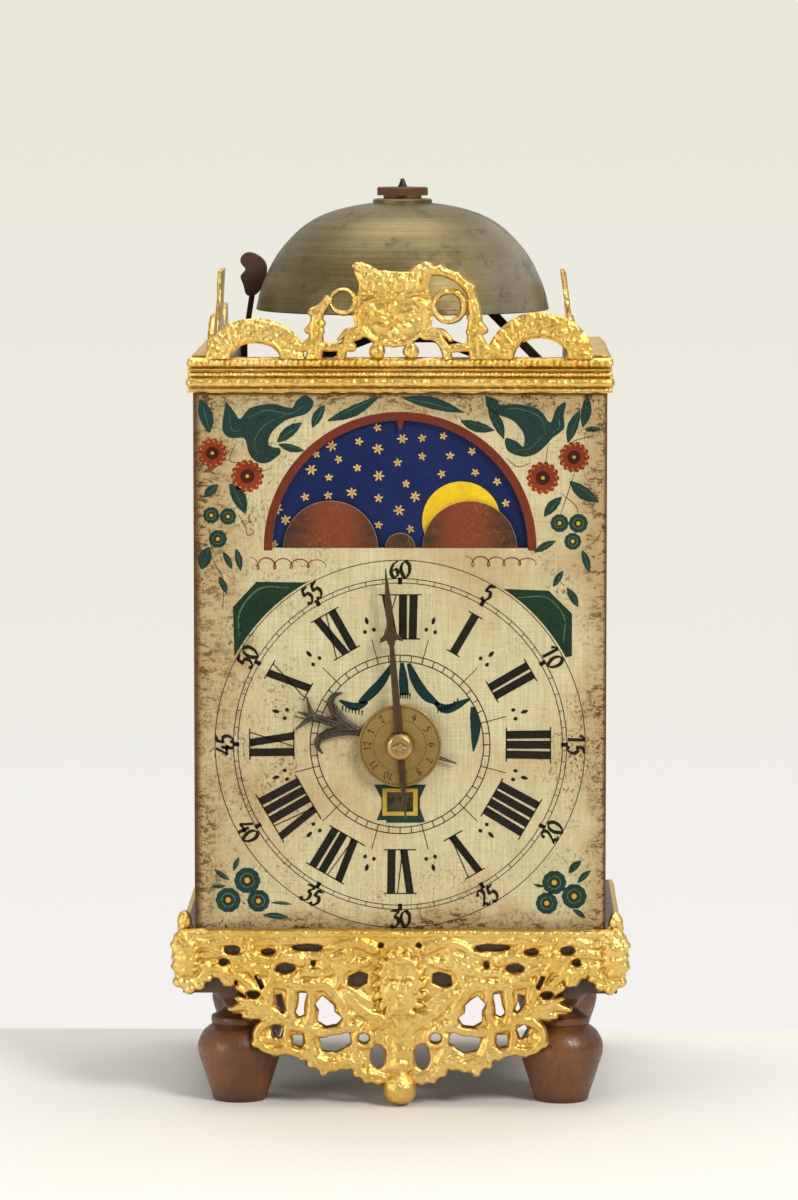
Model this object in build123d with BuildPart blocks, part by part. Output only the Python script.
from build123d import *
import math
import os

# All sizes are in millimetres and all angles in degrees.
# The front of the clock looks along -Y and the bell's axis is the Z axis.
# Places inside the case are depths behind the dial's face.

# Fits and gaps
running_fit = 0.05
seat_gap = 0.3
end_shake = 0.4
layer_gap = 0.8

# Case
foot_height = 52.5
base_thick = 27.0
base_side_step = 5.5
base_front_step = 3.5
base_rear_step = 1.0
dial_width = 190.0
dial_height = 251.2
dial_thick = 1.5
dial_setback = 83.0
case_depth = 170.0
top_thick = 15.9
post_side = 12.0
post_inset = 9.0
back_thick = 5.5
board_round = 1.0
top_floor = 6.8
top_rim_front = 4.0
top_rim_side = 18.0

# Feet
foot_side_inset = 25.5
foot_front_inset = 16.5
foot_rear_inset = 18.0
foot_radius = 19.5
foot_base_radius = 12.6
foot_bead_radius = 13.2
foot_neck_radius = 7.4
foot_collar_radius = 11.8
foot_tenon_radius = 5.0
foot_tenon_length = 10.0

# Doors
door_thick = 7.2
door_inner_gap = 0.8
door_end_gap = 0.5
door_frame = 18.0
door_front_gap = 1.5
door_rear_gap = 1.5
pane_thick = 2.0
pane_groove = 3.0
pintle_radius = 1.2
pintle_reach = 6.0
pintle_inset = 1.8
pintle_rear_inset = 2.0
knob_radius = 3.5
knob_length = 1.2
knob_taper = 20.0
knob_stem_radius = 1.4
knob_height = 125.0
knob_inset = 9.0

# Bell and its stand
bell_radius = 69.3
bell_height = 51.4
bell_wall = 3.0
bell_rim_lift = 18.4
bell_boss_radius = 14.0
bell_boss_height = 0.8
stand_radius = 2.2
stand_shoulder_radius = 6.0
screw_point = 4.0
screw_taper = 20.0
washer_radius = 9.0
washer_thick = 1.5
nut_side = 17.0
nut_thick = 4.0
nut_turn = 40.0
nut_edge = 0.5
strap_width = 10.0
strap_thick = 4.0
strap_foot_length = 8.0
strap_foot_gap = 1.0
strap_start_drop = 7.0
bridge_half_span = 46.0
bridge_flat_half = 15.0
bridge_height = 12.0

# Dial openings
hands_lift = 88.5
moon_lift = 179.5
date_lift = 41.5
arch_radius = 58.8
hump_radius = 21.7
hump_across = 32.0
centre_hump_radius = 6.9
window_width = 12.1
window_height = 9.2
window_offset = 20.2
pipe_hole_gap = 1.4

# Movement frame
front_bar_depth = 20.0
bar_thick = 4.0
bar_width = 24.0
going_room = 48.0
strike_room = 52.0
arm_width = 12.0
pivot_radius = 1.0
pivot_reach = 1.8
arbor_radius = 2.0
great_arbor_radius = 3.0
slim_arbor_radius = 1.6

# Teeth
tooth_base_share = 0.50
tooth_tip_share = 0.16
tooth_addendum = 0.85
tooth_dedendum = 1.30
great_teeth = 64
train_teeth = 60
pinion_leaves = 8
great_module = 0.9
train_module = 0.8
motion_module = 0.8
motion_teeth = 48
minute_module = 1.0
minute_teeth = 36
minute_leaves = 12
hour_teeth = 40
hour_leaves = 10
moon_module = 0.7
moon_driver_teeth = 40
moon_leaves = 20
count_module = 0.8
count_teeth = 78

# Wheel thicknesses and places along the depth
wheel_thick = 2.5
train_wheel_thick = 2.0
motion_thick = 2.0
motion_pitch = 4.0
great_wheel_offset = 4.0
train_wheel_offset = 28.0
escape_wheel_offset = 36.0
pinion_overlap = 1.5
hub_radius = 5.0
rim_width = 4.0
arm_half_count = 2
arm_breadth = 3.0

# Going and striking parts
escape_teeth = 30
escape_radius = 20.0
escape_tooth_height = 3.0
escape_slant = 0.3
anchor_clearance = 1.5
pallet_thick = 5.0
crutch_length = 67.6
crutch_width = 5.0
crutch_thick = 2.0
crutch_gap = 1.0
fork_length = 6.0
fork_radius = 2.5
sprocket_radius = 14.0
sprocket_groove = 3.0
sprocket_width = 12.5
sprocket_spikes = 10
spike_radius = 1.2
ratchet_teeth = 20
ratchet_thick = 2.2
lifting_pins = 8
lifting_pin_circle = 22.0
lifting_pin_radius = 1.0
lifting_pin_length = 4.5
hoop_radius = 21.0
hoop_thick = 1.5
hoop_height = 4.0
hoop_gap_angle = 24.0
fly_radius = 18.0
fly_length = 16.0
fly_thick = 1.0
count_rim_outer = 28.0
count_rim_inner = 24.5
count_rim_depth = 3.0
count_notch = 3.5
detent_across = 40.0
detent_lift = 98.5
detent_arm = 3.0
hammer_across = -62.0
hammer_lift = 42.5
stem_bell_gap = 6.3
neck_bell_gap = 2.4
neck_rim_lift = 7.5
hammer_arbor_radius = 2.0
hammer_stem_width = 2.6
hammer_stem_thick = 2.5
hammer_depth = 102.0
hammer_swing = 1.5
hammer_head_thick = 6.0
hammer_slot_gap = 2.0
spring_thick = 0.8
spring_width = 5.0

# Alarm
alarm_lift = 210.5
crown_radius = 15.0
crown_wall = 1.2
crown_teeth = 15
crown_depth = 10.0
crown_offset = 8.0
crown_tooth_depth = 3.0
crown_gap_share = 0.62
verge_radius = 1.3
verge_across = 4.0
verge_gap = 3.0
verge_rim_lift = 11.0
verge_pallet_height = 4.0
pallet_reach = 2.4
alarm_head_gap = 8.3
alarm_head_radius = 6.0
pulley_radius = 12.0
pulley_width = 8.0
pulley_groove = 2.5

# Moon and date work
moon_radius = 60.0
moon_teeth = 118
moon_tooth_height = 2.0
moon_gap = 0.9
moon_thick = 1.4
date_radius = 26.5
date_tooth_height = 2.2
date_teeth = 62
date_thick = 1.0
date_pin_circle = 17.0
date_pin_radius = 0.8
dial_stud_radius = 1.5
moon_driver_angle = 135.0
moon_finger_reach = 15.2
moon_finger_width = 1.6
minute_wheel_angle = 60.0

# Hands and their arbors
cannon_radius = 3.2
centre_stud_radius = 2.0
hour_pipe_radius = 4.6
hour_hand_lift = 2.0
hand_thick = 1.5
alarm_disc_gap = 0.8
alarm_disc_thick = 1.2
alarm_disc_radius = 19.1
minute_hand_gap = 1.7
minute_hand_thick = 1.2
collet_radius = 6.3
collet_height = 3.0
square_half = 1.6
square_length = 1.8
hand_pin_radius = 0.7
hand_pin_length = 7.0
minute_hand_angle = 94.6
hour_hand_angle = 162.0
minute_hand_reach = 82.5
minute_hand_tail = 33.8
hour_hand_reach = 49.6
hour_hand_tail = 27.0
hour_leaf_width = 3.2
hour_leaf_belly = 2.4
hour_leaf_tip = 1.0
alarm_disc_round = 0.4

# Gilt castings
casting_thick = 2.8
crest_thick = 3.6
crest_height_step = 1.0
moulding_overhang = 2.3
moulding_depth = 5.5
moulding_ridge = 1.1
side_moulding_overhang = 3.1
left_crest_inset = 7.2
right_crest_inset = 14.0
left_crest_lean = 3.0
right_crest_lean = 8.0
side_crest_height = 36.5
side_crest_length_gap = 2.0
side_ledge_margin = 2.0
crest_ball_radius = 3.6
fret_overhang = 5.3
fret_top_lift = 2.5
centre_mask_drop = 19.5
centre_mask_relief = 6.0
corner_mask_drop = 10.5
corner_mask_inset = 6.8
corner_mask_relief = 5.0
pendant_radius = 8.2
pendant_ground_gap = 0.3
pendant_neck_width = 7.0
pendant_neck_height = 6.0
side_scallops = 6
scallop_rise = 3.0
ear_width = 7.0
ear_depth = 5.0
ear_height = 11.0
nail_radius = 1.8
nail_height = 1.2
nail_taper = 30.0
curl_steps = 12

# Heights and depths worked out from the sizes above
base_top = foot_height + base_thick
case_top = base_top + dial_height
board_top = case_top + top_thick
dial_middle = (base_top + case_top) / 2
half_dial = dial_width / 2
half_base = half_dial + base_side_step
dial_face = -dial_setback
case_back = dial_face + case_depth
base_front = dial_face - base_front_step
base_back = case_back + base_rear_step
hands_height = base_top + hands_lift
moon_height = base_top + moon_lift
date_height = base_top + date_lift
bell_rim = board_top + bell_rim_lift
bell_top = bell_rim + bell_height
pocket_floor = case_top + top_floor
pocket_half = half_dial - top_rim_side
foot_across = half_base - foot_side_inset
foot_front = base_front + foot_front_inset
foot_rear = base_back - foot_rear_inset
post_across = half_dial - post_inset - post_side / 2
post_front = dial_face + dial_thick + post_side / 2
back_board_front = case_back - back_thick
post_rear = back_board_front - post_side / 2
post_outer = post_across + post_side / 2

middle_bar_depth = front_bar_depth + bar_thick + going_room
rear_bar_depth = middle_bar_depth + bar_thick + strike_room
moon_depth = dial_thick + moon_gap
moon_gear_depth = moon_depth + moon_thick
date_depth = moon_gear_depth + moon_thick + layer_gap
cannon_layer = front_bar_depth - motion_pitch
minute_layer = cannon_layer - motion_pitch
hour_layer = minute_layer - motion_pitch

fret_front = base_front - casting_thick
fret_half_width = half_base + fret_overhang
door_inner = post_outer + door_inner_gap
door_outer = door_inner + door_thick
door_front = dial_face + dial_thick + door_front_gap
door_rear = back_board_front - door_rear_gap
pintle_across = door_outer - pintle_inset
pintle_deep = door_rear - pintle_rear_inset

LOW = (Align.CENTER, Align.CENTER, Align.MIN)
os.makedirs("parts", exist_ok=True)


def upright(depth, across=0.0, height=0.0):
    """Plane parallel to the dial at a depth behind its face, looking at the viewer."""
    return Plane(origin=(across, dial_face + depth, height), x_dir=(1, 0, 0), z_dir=(0, -1, 0))


def polar(radius, angle):
    """Point at a radius and an angle from the first axis of a plane."""
    return (radius * math.cos(math.radians(angle)), radius * math.sin(math.radians(angle)))


def centres(module, wheel, pinion):
    """Distance between the arbors of a meshed pair."""
    return module * (wheel + pinion) / 2


def meshed_lead(wheel, wheel_lead, direction, follower):
    """Tooth angle of a follower whose leaves fall midway between the wheel's teeth."""
    phase = (direction - wheel_lead) * wheel / 360
    return direction + 180 - (0.5 - phase) * 360 / follower


def toothed(plane, module, teeth, lead=0.0):
    """Flat outline of a toothed wheel with a tooth lead degrees round."""
    pitch = 360 / teeth
    root = module * (teeth / 2 - tooth_dedendum)
    tip = module * (teeth / 2 + tooth_addendum)
    corners = []
    for tooth in range(teeth):
        middle = lead + tooth * pitch
        corners.append(polar(root, middle - tooth_base_share / 2 * pitch))
        corners.append(polar(tip, middle - tooth_tip_share / 2 * pitch))
        corners.append(polar(tip, middle + tooth_tip_share / 2 * pitch))
        corners.append(polar(root, middle + tooth_base_share / 2 * pitch))
    with BuildSketch(plane) as outline:
        with BuildLine():
            Polyline(*corners, close=True)
        make_face()
    return outline.sketch


def notched(plane, root, tip, teeth, slant, lead=0.0):
    """Flat outline of a wheel with pointed teeth that lean by a share of their pitch."""
    pitch = 360 / teeth
    corners = []
    for tooth in range(teeth):
        corners.append(polar(root, lead + (tooth - 0.5) * pitch))
        corners.append(polar(tip, lead + (tooth + slant) * pitch))
    with BuildSketch(plane) as outline:
        with BuildLine():
            Polyline(*corners, close=True)
        make_face()
    return outline.sketch


def crossings(plane, inner, outer):
    """Openings between a wheel's hub and rim, with its arms left standing."""
    with BuildSketch(plane) as gaps:
        Circle(outer)
        Circle(inner, mode=Mode.SUBTRACT)
        for arm in range(arm_half_count):
            turn = 45 + arm * 180 / arm_half_count
            Rectangle(2 * outer + 1, arm_breadth, rotation=turn, mode=Mode.SUBTRACT)
    return gaps.sketch


def strip(plane, points, width):
    """Bar of even width along straight runs, with round ends."""
    with BuildSketch(plane) as bar:
        with BuildLine(mode=Mode.PRIVATE) as path:
            Polyline(*points)
        SlotArc(path.wire(), width)
    return bar.sketch


def patch(plane, points):
    """Closed outline with straight sides."""
    with BuildSketch(plane) as outline:
        with BuildLine():
            Polyline(*points, close=True)
        make_face()
    return outline.sketch


def curl(plane, points, start_width, end_width, belly=0.0):
    """Flat strip along a smooth curve, tapered between two widths and fuller midway."""
    spine = Edge.make_spline([Vector(x, y) for x, y in points])
    one_side = []
    other_side = []
    for step in range(curl_steps + 1):
        share = step / curl_steps
        place = spine.position_at(share)
        along = spine.tangent_at(share)
        width = start_width + share * (end_width - start_width) + belly * math.sin(math.pi * share)
        half = width / 2
        one_side.append((place.X - half * along.Y, place.Y + half * along.X))
        other_side.append((place.X + half * along.Y, place.Y - half * along.X))
    return patch(plane, one_side + other_side[::-1])


def fitted(points, drawn, real):
    """Outline drawn for one width and height, stretched to another."""
    return [(x * real[0] / drawn[0], y * real[1] / drawn[1]) for x, y in points]


def lobe(plane, points):
    """Closed outline with one smooth round edge."""
    with BuildSketch(plane) as outline:
        with BuildLine():
            Spline(*points, periodic=True)
        make_face()
    return outline.sketch


def rod(start, stop, radius, across, height, mode=Mode.ADD):
    """Round bar between two depths, added to the piece in hand."""
    with BuildSketch(upright(start, across, height)) as section:
        Circle(radius)
    extrude(section.sketch, amount=start - stop, mode=mode)


def slab(section, thick, mode=Mode.ADD):
    """A flat outline given its thickness away from the viewer."""
    extrude(section, amount=-thick, mode=mode)


def pivoted(start_bar, stop_bar, radius, across, height):
    """Arbor between two bars, with a pivot at each end."""
    front = start_bar + bar_thick + end_shake / 2
    back = stop_bar - end_shake / 2
    rod(front, back, radius, across, height)
    rod(front - pivot_reach, front, pivot_radius, across, height)
    rod(back, back + pivot_reach, pivot_radius, across, height)


def finish(builder, name):
    """Label a finished piece and write it."""
    builder.part.label = name
    export_step(builder.part, f"parts/{name}.step")


# Arbor heights, from the hands' centre downwards and up again
great_height = hands_height - centres(motion_module, motion_teeth, motion_teeth)
second_height = great_height + centres(great_module, great_teeth, pinion_leaves)
third_height = second_height + centres(train_module, train_teeth, pinion_leaves)
anchor_height = third_height + escape_radius * math.sqrt(2)
hammer_height = base_top + hammer_lift
detent_height = base_top + detent_lift
alarm_height = base_top + alarm_lift

# Places of the motion work round the hands' centre
minute_centres = centres(minute_module, minute_teeth, minute_leaves)
hour_module = 2 * minute_centres / (hour_teeth + hour_leaves)
minute_wheel_across = polar(minute_centres, minute_wheel_angle)[0]
minute_wheel_height = hands_height + polar(minute_centres, minute_wheel_angle)[1]
driver_centres = centres(moon_module, moon_driver_teeth, moon_leaves)
driver_across = polar(driver_centres, moon_driver_angle)[0]
driver_height = hands_height + polar(driver_centres, moon_driver_angle)[1]
count_centres = centres(count_module, count_teeth, pinion_leaves)

# Wheel layers inside the frame
great_layer = front_bar_depth + bar_thick + great_wheel_offset
second_layer = front_bar_depth + bar_thick + train_wheel_offset
escape_layer = front_bar_depth + bar_thick + escape_wheel_offset
strike_great_layer = middle_bar_depth + bar_thick + great_wheel_offset * 2
hoop_layer = strike_great_layer + train_wheel_offset - pinion_overlap
count_layer = rear_bar_depth + bar_thick + 2 * motion_thick
going_sprocket_depth = great_layer + wheel_thick + layer_gap
strike_sprocket_depth = strike_great_layer + wheel_thick + lifting_pin_length + layer_gap
pulley_depth = rear_bar_depth + bar_thick + 2 * motion_pitch + pulley_width


# Base board, with slots for the chains and sockets for the feet
chain_slot_width = 2 * spike_radius + 6
chain_slot_length = sprocket_width - 2
sprocket_chain_radius = sprocket_radius - sprocket_groove
going_chain_deep = dial_face + going_sprocket_depth + ratchet_thick + sprocket_width / 2
strike_chain_deep = dial_face + strike_sprocket_depth + ratchet_thick + sprocket_width / 2
rope_deep = dial_face + pulley_depth + pulley_width / 2
with BuildPart() as base_board:
    with Locations((0, (base_front + base_back) / 2, foot_height)):
        Box(2 * half_base, base_back - base_front, base_thick, align=LOW)
    fillet(base_board.edges().filter_by(Axis.Z), radius=board_round)
    with BuildSketch(Plane.XY.offset(base_top)):
        for deep in (going_chain_deep, strike_chain_deep):
            with Locations((-sprocket_chain_radius, deep), (sprocket_chain_radius, deep)):
                Rectangle(chain_slot_width, chain_slot_length)
        with Locations((-pulley_radius, rope_deep), (pulley_radius, rope_deep)):
            Circle(pulley_groove + 1)
    extrude(amount=-base_thick, mode=Mode.SUBTRACT)
    with BuildSketch(Plane.XY.offset(foot_height)):
        for deep in (foot_front, foot_rear):
            with Locations((-foot_across, deep), (foot_across, deep)):
                Circle(foot_tenon_radius + running_fit)
    extrude(amount=foot_tenon_length + seat_gap, mode=Mode.SUBTRACT)
    with BuildSketch(Plane.XY.offset(base_top)):
        with GridLocations(2 * pintle_across, 0, 2, 1):
            with Locations((0, pintle_deep)):
                Circle(pintle_radius + running_fit)
    extrude(amount=-pintle_reach - seat_gap, mode=Mode.SUBTRACT)
finish(base_board, "base_board")


# Four turned feet, each tenoned into the base board
foot_ends = {"front": foot_front, "rear": foot_rear}
foot_sides = {"left": -foot_across, "right": foot_across}
bead_low = 0.68 * foot_height
bead_high = 0.76 * foot_height
foot_neck_height = 0.84 * foot_height
collar_low = 0.93 * foot_height
for end_name, deep in foot_ends.items():
    for side_name, across in foot_sides.items():
        with BuildPart() as foot:
            with BuildSketch(Plane.XZ):
                with BuildLine():
                    Polyline((0, 0), (foot_base_radius, 0), (foot_base_radius + 0.5, 3))
                    Spline(
                        (foot_base_radius + 0.5, 3),
                        (foot_radius - 3.2, 0.24 * foot_height),
                        (foot_radius, 0.46 * foot_height),
                        (foot_radius - 2.4, 0.60 * foot_height),
                        (foot_bead_radius - 0.8, bead_low),
                    )
                    Polyline(
                        (foot_bead_radius - 0.8, bead_low),
                        (foot_bead_radius, bead_low + 1),
                        (foot_bead_radius, bead_high - 1),
                        (foot_bead_radius - 1.5, bead_high),
                    )
                    Spline(
                        (foot_bead_radius - 1.5, bead_high),
                        (foot_neck_radius, foot_neck_height),
                        (foot_collar_radius - 0.6, collar_low),
                    )
                    Polyline(
                        (foot_collar_radius - 0.6, collar_low),
                        (foot_collar_radius, collar_low + 0.8),
                        (foot_collar_radius, foot_height),
                        (foot_tenon_radius, foot_height),
                        (foot_tenon_radius, foot_height + foot_tenon_length),
                        (0, foot_height + foot_tenon_length),
                        (0, 0),
                    )
                make_face()
            revolve(axis=Axis.Z)
        foot.part = foot.part.moved(Location((across, deep, 0)))
        finish(foot, f"foot_{end_name}_{side_name}")


# Top board, sunk inside its rim and pierced for the hammer stem, the verge and the pintles
hammer_deep = dial_face + hammer_depth
verge_depth = middle_bar_depth + bar_thick + crown_offset + crown_depth + verge_gap
verge_deep = dial_face + verge_depth
stem_top_across = -bell_radius - stem_bell_gap
stem_reach = board_top - hammer_height
stem_travel = stem_reach * math.sin(math.radians(hammer_swing))
slot_left = stem_top_across - hammer_stem_width / 2 - stem_travel - hammer_slot_gap
slot_right = stem_top_across + hammer_stem_width / 2 + hammer_slot_gap
with BuildPart() as top_board:
    with Locations((0, (dial_face + case_back) / 2, case_top)):
        Box(dial_width, case_depth, top_thick, align=LOW)
    with BuildSketch(Plane.XY.offset(board_top)):
        with Locations((0, dial_face + top_rim_front)):
            Rectangle(2 * pocket_half, case_depth, align=(Align.CENTER, Align.MIN))
    extrude(amount=top_floor - top_thick, mode=Mode.SUBTRACT)
    with BuildSketch(Plane.XY.offset(board_top)):
        with Locations(((slot_left + slot_right) / 2, hammer_deep)):
            Rectangle(slot_right - slot_left, hammer_stem_thick + 2 * hammer_slot_gap)
        with Locations((verge_across, verge_deep)):
            Circle(verge_radius + running_fit)
    extrude(amount=-top_thick, mode=Mode.SUBTRACT)
    with BuildSketch(Plane.XY.offset(case_top)):
        with GridLocations(2 * pintle_across, 0, 2, 1):
            with Locations((0, pintle_deep)):
                Circle(pintle_radius + running_fit)
    extrude(amount=pintle_reach + seat_gap, mode=Mode.SUBTRACT)
finish(top_board, "top_board")


# Corner posts between the boards
for end_name, deep in {"front": post_front, "rear": post_rear}.items():
    for side_name, across in {"left": -post_across, "right": post_across}.items():
        with BuildPart() as post:
            with Locations((across, deep, base_top)):
                Box(post_side, post_side, dial_height, align=LOW)
            chamfer(post.edges().filter_by(Axis.Z), length=board_round)
        finish(post, f"post_{end_name}_{side_name}")


# Back board, with the rear pivots of the anchor and the alarm wheel
with BuildPart() as back_board:
    with Locations((0, (back_board_front + case_back) / 2, base_top)):
        Box(2 * post_outer, back_thick, dial_height, align=LOW)
    rod(case_depth - back_thick, case_depth, arbor_radius + layer_gap, 0, anchor_height, Mode.SUBTRACT)
    alarm_socket = case_depth - back_thick + pivot_reach + seat_gap
    rod(case_depth - back_thick, alarm_socket, pivot_radius + running_fit, 0, alarm_height, Mode.SUBTRACT)
finish(back_board, "back_board")


# Dial plate, with the moon arch, the date window and three studs behind
with BuildPart() as dial_plate:
    with BuildSketch(upright(0)):
        with Locations((0, dial_middle)):
            Rectangle(dial_width, dial_height)
        with Locations((0, hands_height)):
            Circle(hour_pipe_radius + pipe_hole_gap, mode=Mode.SUBTRACT)
        with Locations((0, date_height + window_offset)):
            Rectangle(window_width, window_height, mode=Mode.SUBTRACT)
    extrude(amount=-dial_thick)
    with BuildSketch(upright(0, 0, moon_height)) as moon_arch:
        Circle(arch_radius)
        with Locations((0, -arch_radius)):
            Rectangle(2 * arch_radius, 2 * arch_radius, mode=Mode.SUBTRACT)
        with Locations((-hump_across, 0), (hump_across, 0)):
            Circle(hump_radius, mode=Mode.SUBTRACT)
        Circle(centre_hump_radius, mode=Mode.SUBTRACT)
    extrude(amount=-dial_thick, mode=Mode.SUBTRACT)
    moon_stud_end = moon_depth + moon_thick + layer_gap / 2
    driver_stud_end = moon_gear_depth + moon_thick + layer_gap / 2
    rod(dial_thick, moon_stud_end, dial_stud_radius, 0, moon_height)
    rod(dial_thick, driver_stud_end, dial_stud_radius, driver_across, driver_height)
    rod(dial_thick, date_depth + date_thick + layer_gap, dial_stud_radius, 0, date_height)
finish(dial_plate, "dial_plate")


# Front bar, with the studs of the hands and of the minute wheel
with BuildPart() as front_bar:
    with BuildSketch(upright(front_bar_depth)):
        with Locations((0, dial_middle)):
            Rectangle(bar_width, dial_height)
        with Locations((minute_wheel_across, minute_wheel_height)):
            Rectangle(2 * arm_width - layer_gap, arm_width)
        with Locations((0, great_height)):
            Circle(centre_stud_radius + running_fit, mode=Mode.SUBTRACT)
        with Locations((0, second_height), (0, third_height), (0, anchor_height)):
            Circle(pivot_radius + running_fit, mode=Mode.SUBTRACT)
    extrude(amount=-bar_thick)
    rod(-hour_hand_lift, front_bar_depth, centre_stud_radius, 0, hands_height)
    stud_front = hour_layer - layer_gap / 2
    rod(stud_front, front_bar_depth, centre_stud_radius, minute_wheel_across, minute_wheel_height)
finish(front_bar, "front_bar")


# Middle bar, with arms for the hammer and the detent and a cock for the verge
cock_drop = crown_radius + crown_wall + 2 * layer_gap
cock_thick = 3.0
cock_height = alarm_height - cock_drop - cock_thick
with BuildPart() as middle_bar:
    with BuildSketch(upright(middle_bar_depth)):
        with Locations((0, dial_middle)):
            Rectangle(bar_width, dial_height)
        with Locations((hammer_across / 2, hammer_height)):
            Rectangle(-hammer_across + arm_width, arm_width)
        with Locations((detent_across / 2, detent_height)):
            Rectangle(detent_across + arm_width, arm_width)
        with Locations((0, great_height), (0, second_height), (0, third_height), (0, alarm_height)):
            Circle(pivot_radius + running_fit, mode=Mode.SUBTRACT)
        with Locations((hammer_across, hammer_height), (detent_across, detent_height)):
            Circle(pivot_radius + running_fit, mode=Mode.SUBTRACT)
        with Locations((0, anchor_height)):
            Circle(arbor_radius + layer_gap, mode=Mode.SUBTRACT)
    extrude(amount=-bar_thick)
    cock_length = verge_depth + 2 * verge_radius - middle_bar_depth - bar_thick
    with Locations((verge_across, dial_face + middle_bar_depth + bar_thick + cock_length / 2, cock_height)):
        Box(bar_width / 2, cock_length, cock_thick, align=LOW)
    with BuildSketch(Plane.XY.offset(cock_height + cock_thick)):
        with Locations((verge_across, verge_deep)):
            Circle(pivot_radius + running_fit)
    extrude(amount=-pivot_reach - seat_gap, mode=Mode.SUBTRACT)
finish(middle_bar, "middle_bar")


# Rear bar, with arms for the hammer, the count wheel and the detent
with BuildPart() as rear_bar:
    with BuildSketch(upright(rear_bar_depth)):
        with Locations((0, dial_middle)):
            Rectangle(bar_width, dial_height)
        with Locations((hammer_across / 2, hammer_height)):
            Rectangle(-hammer_across + arm_width, arm_width)
        with Locations((detent_across / 2, detent_height)):
            Rectangle(detent_across + arm_width, arm_width)
        with Locations((count_centres / 2, great_height)):
            Rectangle(count_centres + arm_width, arm_width)
        with Locations((0, great_height)):
            Circle(centre_stud_radius + running_fit, mode=Mode.SUBTRACT)
        with Locations((0, second_height), (0, third_height), (hammer_across, hammer_height)):
            Circle(pivot_radius + running_fit, mode=Mode.SUBTRACT)
        with Locations((0, anchor_height), (detent_across, detent_height)):
            Circle(slim_arbor_radius + running_fit, mode=Mode.SUBTRACT)
        with Locations((0, alarm_height)):
            Circle(arbor_radius + layer_gap, mode=Mode.SUBTRACT)
    extrude(amount=-bar_thick)
    stud_back = count_layer + train_wheel_thick + count_rim_depth
    rod(rear_bar_depth + bar_thick, stud_back, centre_stud_radius, count_centres, great_height)
finish(rear_bar, "rear_bar")


def sprocket_body(start):
    """Chain wheel with its ratchet on the front, round the great arbor."""
    plane = upright(start, 0, great_height)
    slab(notched(plane, sprocket_radius - 2, sprocket_radius, ratchet_teeth, 0.35), ratchet_thick)
    groove = start + ratchet_thick
    rod(groove, groove + sprocket_width, sprocket_radius, 0, great_height)
    middle = groove + sprocket_width / 2
    with BuildSketch(upright(middle - sprocket_groove, 0, great_height)) as ring:
        Circle(sprocket_radius + 1)
        Circle(sprocket_chain_radius, mode=Mode.SUBTRACT)
    slab(ring.sketch, 2 * sprocket_groove, Mode.SUBTRACT)
    with BuildSketch(upright(middle - spike_radius, 0, great_height)) as spikes:
        with PolarLocations(sprocket_chain_radius, sprocket_spikes):
            RegularPolygon(2 * spike_radius, 3)
    slab(spikes.sketch, 2 * spike_radius)
    rod(start, groove + sprocket_width, great_arbor_radius + running_fit, 0, great_height, Mode.SUBTRACT)


# Going great wheel, whose arbor carries the motion wheel in front of the bar
cannon_wheel_lead = meshed_lead(motion_teeth, 0, 90, motion_teeth)
great_pitch_radius = great_module * great_teeth / 2
train_pitch_radius = train_module * train_teeth / 2
with BuildPart() as great_wheel:
    slab(toothed(upright(great_layer, 0, great_height), great_module, great_teeth), wheel_thick)
    plane = upright(great_layer, 0, great_height)
    slab(crossings(plane, hub_radius + 2, great_pitch_radius - rim_width), wheel_thick, Mode.SUBTRACT)
    going_end = middle_bar_depth - end_shake / 2
    rod(front_bar_depth + bar_thick + end_shake / 2, going_end, great_arbor_radius, 0, great_height)
    front_end = cannon_layer - layer_gap / 2
    rod(front_end, front_bar_depth + bar_thick + end_shake, centre_stud_radius, 0, great_height)
    rod(going_end, going_end + pivot_reach, pivot_radius, 0, great_height)
    slab(toothed(upright(cannon_layer, 0, great_height), motion_module, motion_teeth), motion_thick)
finish(great_wheel, "great_wheel")

with BuildPart() as going_sprocket:
    sprocket_body(going_sprocket_depth)
finish(going_sprocket, "going_sprocket")


# Second wheel of the going train
second_pinion_lead = meshed_lead(great_teeth, 0, 90, pinion_leaves)
with BuildPart() as second_wheel:
    pivoted(front_bar_depth, middle_bar_depth, arbor_radius, 0, second_height)
    plane = upright(great_layer - pinion_overlap, 0, second_height)
    slab(toothed(plane, great_module, pinion_leaves, second_pinion_lead), wheel_thick + 2 * pinion_overlap)
    plane = upright(second_layer, 0, second_height)
    slab(toothed(plane, train_module, train_teeth), train_wheel_thick)
    slab(crossings(plane, hub_radius, train_pitch_radius - rim_width), train_wheel_thick, Mode.SUBTRACT)
finish(second_wheel, "second_wheel")


# Escape wheel, with pointed teeth
third_pinion_lead = meshed_lead(train_teeth, 0, 90, pinion_leaves)
with BuildPart() as escape_wheel:
    pivoted(front_bar_depth, middle_bar_depth, arbor_radius, 0, third_height)
    plane = upright(second_layer - pinion_overlap, 0, third_height)
    leaves = toothed(plane, train_module, pinion_leaves, third_pinion_lead)
    slab(leaves, train_wheel_thick + 2 * pinion_overlap)
    plane = upright(escape_layer, 0, third_height)
    root = escape_radius - escape_tooth_height
    slab(notched(plane, root, escape_radius, escape_teeth, escape_slant), train_wheel_thick)
    slab(crossings(plane, hub_radius, root - rim_width + 1), train_wheel_thick, Mode.SUBTRACT)
finish(escape_wheel, "escape_wheel")


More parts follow.
